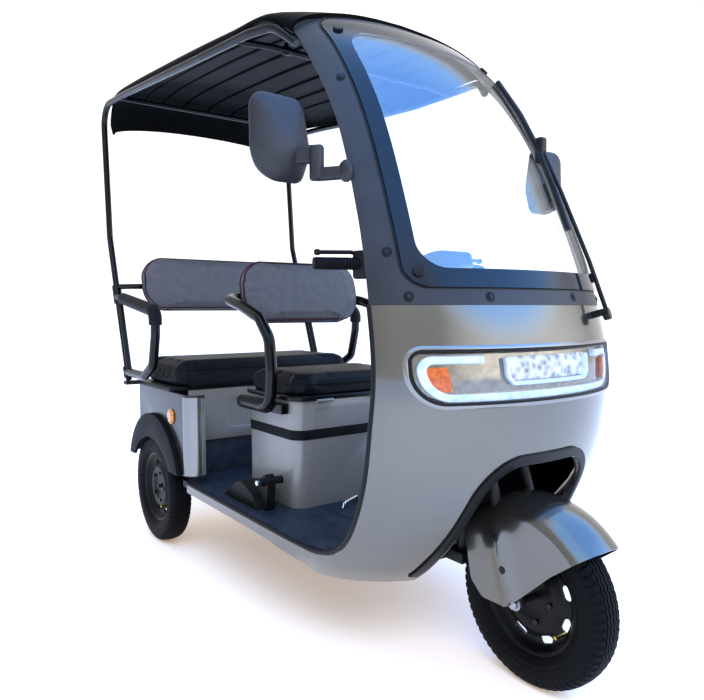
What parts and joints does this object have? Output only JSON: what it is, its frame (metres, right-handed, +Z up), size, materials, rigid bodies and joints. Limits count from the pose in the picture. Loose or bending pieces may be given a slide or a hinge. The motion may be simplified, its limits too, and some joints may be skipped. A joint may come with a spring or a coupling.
{
  "type": "electric passenger tricycle",
  "caption": "Three-wheeled electric passenger vehicle with a curved front shell, windscreen, canopy roof, handlebar steering, driver's seat over a storage box and a rear bench",
  "frame": {"origin": "on the ground below the middle of the bounding box", "axes": "+X is the direction of travel, +Y is the vehicle's left side, +Z is up"},
  "size_m": [2.1324, 1.1034, 1.7968],
  "materials": {
    "silver_paint": "metallic",
    "box_paint": "satin",
    "dark_plastic": "textured",
    "grey_plastic": "textured",
    "black_steel": "gloss",
    "frame_steel": "satin",
    "clear_cover": "clear",
    "screen": "clear",
    "lamp_white": "gloss",
    "lamp_amber": "gloss",
    "lamp_red": "gloss",
    "mirror_face": "polished",
    "seat_cover": "satin",
    "back_cover": "satin",
    "battery_case": "satin",
    "tyre_rubber": "matte",
    "rim_steel": "gloss",
    "grip_rubber": "matte",
    "axle_steel": "satin"
  },
  "bodies": {
    "chassis": {"ladder_frame": "frame_steel", "rear_frame": "frame_steel", "steering_head": "frame_steel", "floor_pan": "dark_plastic", "sills": "silver_paint", "leg_shield": "dark_plastic", "dash": "dark_plastic", "front_shell": "silver_paint", "arch_lip": "silver_paint", "headlamp_housing": "dark_plastic", "headlamp_lens": "clear_cover", "light_guide": "lamp_white", "turn_lamps": "lamp_amber", "windscreen_frame": "dark_plastic", "windscreen": "screen", "wiper": "black_steel", "roof": "dark_plastic", "canopy_frame": "black_steel", "mirrors": "dark_plastic", "mirror_glass": "mirror_face", "seat_box": "box_paint", "seat_box_band": "grey_plastic", "battery": "battery_case", "driver_frame": "black_steel", "driver_backrest": "back_cover", "brake_pedal": "frame_steel", "rear_sides": "silver_paint", "arch_flares": "grey_plastic", "rear_box_front": "box_paint", "toe_panel": "dark_plastic", "rear_panel": "silver_paint", "bench_deck": "dark_plastic", "bench_cushion": "seat_cover", "bench_frame": "black_steel", "bench_backrest": "back_cover", "armrest_pads": "grip_rubber", "side_markers": "lamp_amber", "tail_lamps": "lamp_red", "rear_axle": "axle_steel", "drive_motor": "axle_steel", "leaf_springs": "frame_steel"},
    "steering": {"fork": "black_steel", "front_fender": "silver_paint", "handlebar": "black_steel", "grips": "grip_rubber", "instrument_pod": "dark_plastic"},
    "front_wheel": {"front_tyre": "tyre_rubber", "front_rim": "rim_steel"},
    "rear_wheel_right": {"rear_tyre_right": "tyre_rubber", "rear_rim_right": "rim_steel"},
    "rear_wheel_left": {"rear_tyre_left": "tyre_rubber", "rear_rim_left": "rim_steel"},
    "seat_lid": {"driver_cushion": "seat_cover"}
  },
  "joints": [
    {"name": "steering", "type": "hinge", "parent": "chassis", "child": "steering", "pos_m": [0.81375, 0, 0.2075], "axis": [-0.309, 0, 0.9511], "range_deg": [-40, 40]},
    {"name": "front_wheel_spin", "type": "hinge", "parent": "steering", "child": "front_wheel", "pos_m": [0.85875, 0, 0.2075], "axis": [0, 1, 0], "continuous": true},
    {"name": "rear_wheel_right_spin", "type": "hinge", "parent": "chassis", "child": "rear_wheel_right", "pos_m": [-0.65125, -0.36, 0.2075], "axis": [0, 1, 0], "continuous": true},
    {"name": "rear_wheel_left_spin", "type": "hinge", "parent": "chassis", "child": "rear_wheel_left", "pos_m": [-0.65125, 0.36, 0.2075], "axis": [0, 1, 0], "continuous": true},
    {"name": "seat_lid", "type": "hinge", "parent": "chassis", "child": "seat_lid", "pos_m": [0.16375, 0, 0.612], "axis": [0, 1, 0], "range_deg": [0, 70]}
  ]
}
